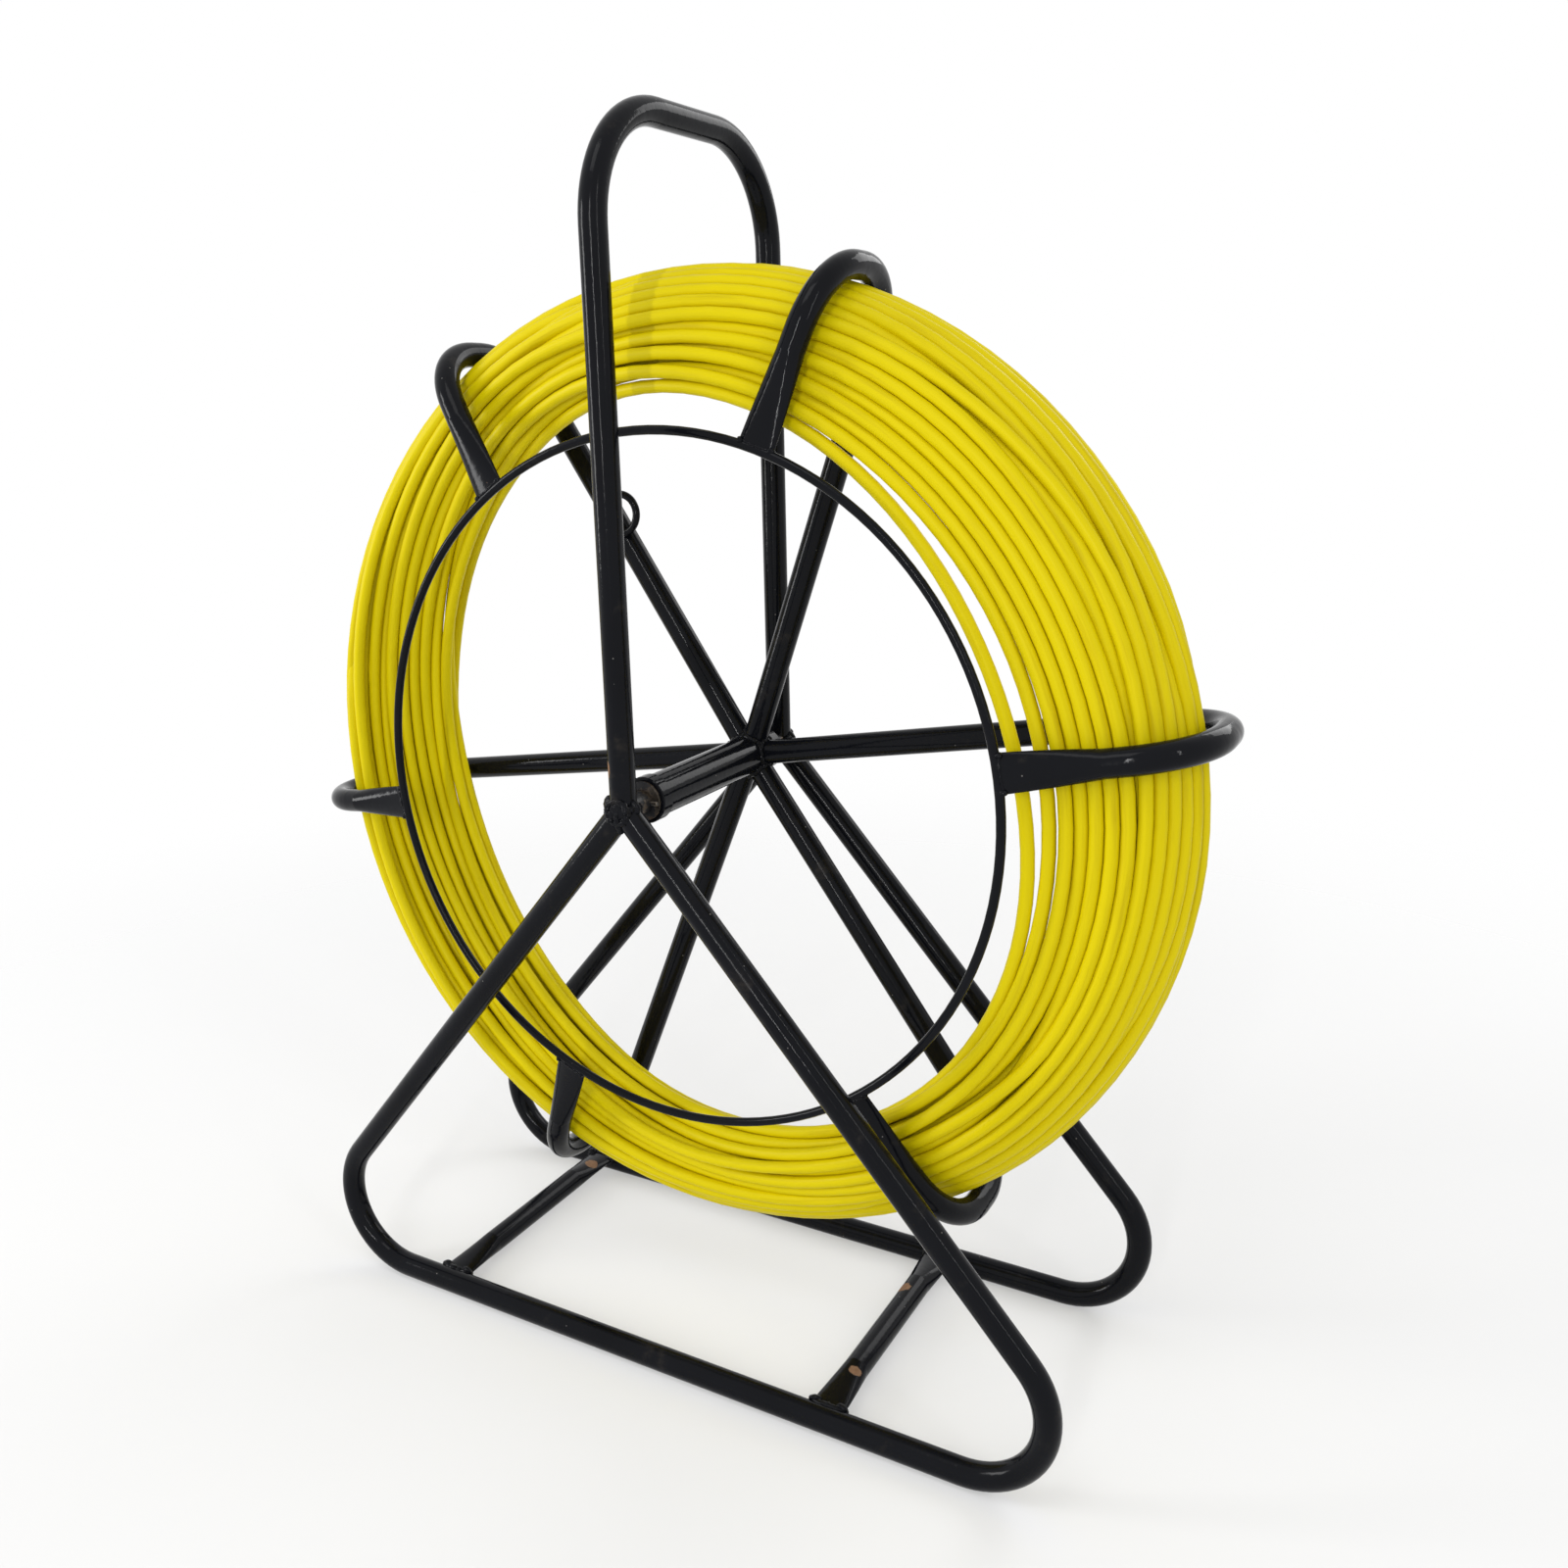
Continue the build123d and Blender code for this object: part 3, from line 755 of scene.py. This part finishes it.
def hook_welds():
    """A fine bead where each hook's flat end meets the ring, and a tack at each of its corners."""
    beads, lumps = [], []
    for angle in SPOKE_ANGLES:
        turn = radians(angle)
        out = Vector((cos(turn), 0, sin(turn)))
        across = Vector((-sin(turn), 0, cos(turn)))
        along = -out * LEG_IN[0] + Vector((0, -LEG_IN[1], 0))
        start = radial(angle, RING_R, RING_Y) - along * 0.02
        for run in seam(start, along, across, 0.0108, 0.0022, ["front_ring"], reach=0.04):
            beads.append((run, RING_BEAD))
        for side in (-1, 1):
            corner = radial(angle, RING_R, RING_Y) + across * side * 0.0102
            corner = corner + Vector((0, -0.0015, 0)) - along * 0.0022
            lumps.append((corner, (0.0024, 0.0020, 0.0017), (side * across.x, -1, side * across.z)))
    return weld("hook_end_welds", "reel", beads, lumps, seed=12)


def eye_weld():
    """The rod eye is tacked to the front of its spoke."""
    low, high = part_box("rod_eye")
    middle = (low + high) / 2
    wire = (high.y - low.y) / 2
    reach = (high.x - low.x) / 2 - wire
    turn = radians(SPOKE_ANGLES[2])
    aside = Vector((-sin(turn), 0, cos(turn)))
    spoke_point = radial(SPOKE_ANGLES[2], 0.16)
    side = 1 if (spoke_point - middle).dot(aside) > 0 else -1
    beads = []
    for edge in (-1, 1):
        line = []
        for n in range(9):
            swing = radians(-34 + 68 * n / 8)
            ray = Vector((cos(swing), 0, sin(swing)))
            turned = aside * side * ray.x + Vector((cos(turn), 0, sin(turn))) * ray.z
            line.append(middle + turned * (reach + edge * wire * 0.75) + Vector((0, wire * 0.55, 0)))
        beads.append((line, EYE_BEAD))
    return weld("eye_weld", "reel", beads, seed=13)


def cross_tube_welds():
    """A rough bead across each pressed end, over and under."""
    beads, lumps = [], []
    for name in ("left_cross_tube", "right_cross_tube"):
        low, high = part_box(name)
        x, z = (low.x + high.x) / 2, (low.z + high.z) / 2
        half = (high.x - low.x) / 2
        for side, rail in ((-1, "front_leg_frame"), (1, "rear_leg_frame")):
            start = (x, side * (FRAME_Y - 0.03), z)
            for run in seam(start, (0, side, 0), (1, 0, 0), half, 0.0026, [rail], reach=0.05):
                beads.append((run, CROSS_TUBE_BEAD))
            for edge in (-1, 1):
                corner = Vector((x + edge * half * 0.8, side * (FRAME_Y - TUBE_R * 0.93), z + 0.0022))
                lumps.append((corner, (0.0042, 0.0032, 0.0024), (edge * 0.3, -side, 0.8)))
    return weld("cross_tube_welds", "stand", beads, lumps, seed=14)


def apex_weld(name, side, frame_name):
    """Upright to legs, leg to leg, and a cap of weld over the axle's end."""
    y = side * FRAME_Y
    beads = []
    start = (0, y, AXLE_Z + 0.05)
    for run in seam(start, (0, 0, -1), (1, 0, 0), TUBE_R + 0.0006, TUBE_R + 0.0006, [frame_name]):
        beads.append((run, APEX_BEAD))
    slope = Vector((frame_high.x, 0, AXLE_Z - RAIL_Z)).normalized()
    for face in (-1, 1):
        line = []
        for n in range(8):
            drop = 0.0122 * n / 7
            off = max(TUBE_R**2 - (drop * slope.x)**2, 0) ** 0.5
            line.append(Vector((0, y + face * off, AXLE_Z - drop)))
        beads.append((line, APEX_BEAD))
    rim = []
    axle_r = (axle_high.x - axle_low.x) / 2
    for n in range(17):
        turn = 2 * pi * n / 16
        rim.append(Vector((cos(turn) * axle_r, side * (APEX_FACE - 0.0008), AXLE_Z + sin(turn) * axle_r)))
    beads.append((rim, AXLE_BEAD))
    face_y = side * (APEX_FACE - 0.0012)
    left = Vector((-0.0078, side * (FRAME_Y + 0.0015), AXLE_Z + 0.0030))
    right = Vector((0.0082, side * (FRAME_Y + 0.0010), AXLE_Z + 0.0022))
    lumps = [
        (Vector((0, face_y, AXLE_Z)), (0.0070, 0.0070, 0.0019), (0, side, 0)),
        (Vector((-0.0038, face_y, AXLE_Z - 0.0022)), (0.0050, 0.0042, 0.0021), (0, side, 0)),
        (left, (0.0036, 0.0058, 0.0050), (-1, 0, 0.3)),
        (right, (0.0030, 0.0052, 0.0040), (1, 0, 0.3)),
    ]
    return weld(name, "stand", beads, lumps, seed=15 if side < 0 else 16)


def make_welds():
    hub_weld()
    hook_welds()
    eye_weld()
    cross_tube_welds()
    apex_weld("front_apex_weld", -1, "front_leg_frame")
    apex_weld("rear_apex_weld", 1, "rear_leg_frame")


# ---------------------------------------------------------------- floor, light

FLOOR_R = 3.0
FLOOR_FADES = (0.55, 1.5)          # the floor turns into the backdrop between these distances
FLOOR_CLEAR = 0.35                 # how much of the backdrop shows through it from the start
SOFT_LIGHT = 0.72                  # strength of the light from all round
BACKDROP = 1.0                     # and of the white that is seen behind


def seen_directly(tree):
    """One for a ray from the camera, from glass or from a gloss, nought for soft light."""
    path = tree.nodes.new("ShaderNodeLightPath")
    total = path.outputs["Is Camera Ray"]
    for kind in ("Is Glossy Ray", "Is Transmission Ray"):
        joined = tree.nodes.new("ShaderNodeMath")
        joined.operation = "MAXIMUM"
        tree.links.new(total, joined.inputs[0])
        tree.links.new(path.outputs[kind], joined.inputs[1])
        total = joined.outputs[0]
    return total


def pale_floor():
    """Matt and pale under the object, so that it holds a shadow, and open to the backdrop further out."""
    material = bpy.data.materials.new("pale_floor")
    material.use_nodes = True
    tree = material.node_tree
    shader = tree.nodes["Principled BSDF"]
    shader.inputs["Base Color"].default_value = (0.86, 0.86, 0.86, 1)
    shader.inputs["Roughness"].default_value = 0.9
    shader.inputs["Specular IOR Level"].default_value = 0.1
    place = tree.nodes.new("ShaderNodeTexCoord").outputs["Object"]
    far = tree.nodes.new("ShaderNodeVectorMath")
    far.operation = "LENGTH"
    tree.links.new(place, far.inputs[0])
    fade = tree.nodes.new("ShaderNodeMapRange")
    fade.interpolation_type = "SMOOTHSTEP"
    fade.inputs["From Min"].default_value, fade.inputs["From Max"].default_value = FLOOR_FADES
    fade.inputs["To Min"].default_value = FLOOR_CLEAR
    tree.links.new(far.outputs["Value"], fade.inputs["Value"])
    clear = tree.nodes.new("ShaderNodeBsdfTransparent")
    mix = tree.nodes.new("ShaderNodeMixShader")
    tree.links.new(fade.outputs["Result"], mix.inputs[0])
    tree.links.new(shader.outputs[0], mix.inputs[1])
    tree.links.new(clear.outputs[0], mix.inputs[2])
    tree.links.new(mix.outputs[0], tree.nodes["Material Output"].inputs["Surface"])
    return material


def make_floor():
    mesh = bpy.data.meshes.new("floor")
    shape = bmesh.new()
    bmesh.ops.create_circle(shape, cap_ends=True, segments=64, radius=FLOOR_R)
    shape.to_mesh(mesh)
    shape.free()
    floor = bpy.data.objects.new("floor", mesh)
    scene.collection.objects.link(floor)
    mesh.materials.append(pale_floor())


def area_light(name, place, aim, size, power):
    data = bpy.data.lights.new(name, "AREA")
    data.shape = "RECTANGLE"
    data.size, data.size_y = size
    data.energy = power
    light = bpy.data.objects.new(name, data)
    light.location = place
    light.rotation_euler = (Vector(aim) - Vector(place)).to_track_quat("-Z", "Y").to_euler()
    scene.collection.objects.link(light)


def make_light():
    world = bpy.data.worlds.new("studio")
    scene.world = world
    world.use_nodes = True
    tree = world.node_tree
    soft = tree.nodes["Background"]
    soft.inputs["Color"].default_value = (1, 1, 1, 1)
    soft.inputs["Strength"].default_value = SOFT_LIGHT
    white = tree.nodes.new("ShaderNodeBackground")
    white.inputs["Color"].default_value = (1, 1, 1, 1)
    white.inputs["Strength"].default_value = BACKDROP
    mix = tree.nodes.new("ShaderNodeMixShader")
    tree.links.new(seen_directly(tree), mix.inputs[0])
    tree.links.new(soft.outputs[0], mix.inputs[1])
    tree.links.new(white.outputs[0], mix.inputs[2])
    tree.links.new(mix.outputs[0], tree.nodes["World Output"].inputs["Surface"])
    middle = (0, 0, AXLE_Z)
    area_light("front_strip", (0.55, -2.4, 1.1), middle, (0.045, 1.3), 15)
    area_light("overhead", (0.0, -0.9, 2.1), middle, (0.7, 0.7), 4)
    area_light("side", (-2.0, -1.3, 0.9), middle, (0.5, 1.2), 22)
    area_light("side_strip", (2.0, -0.9, 1.3), middle, (0.04, 1.2), 4)
    area_light("behind", (0.8, 1.9, 1.6), middle, (1.2, 1.0), 12)


scene.view_settings.view_transform = "Standard"
make_camera()
materials = finish_nodes()
rod = make_rod()
rod.data.materials.append(materials["yellow_sheath"])
make_welds()
make_floor()
make_light()

# ---------------------------------------------------------------- update the scene

bpy.context.view_layer.update()
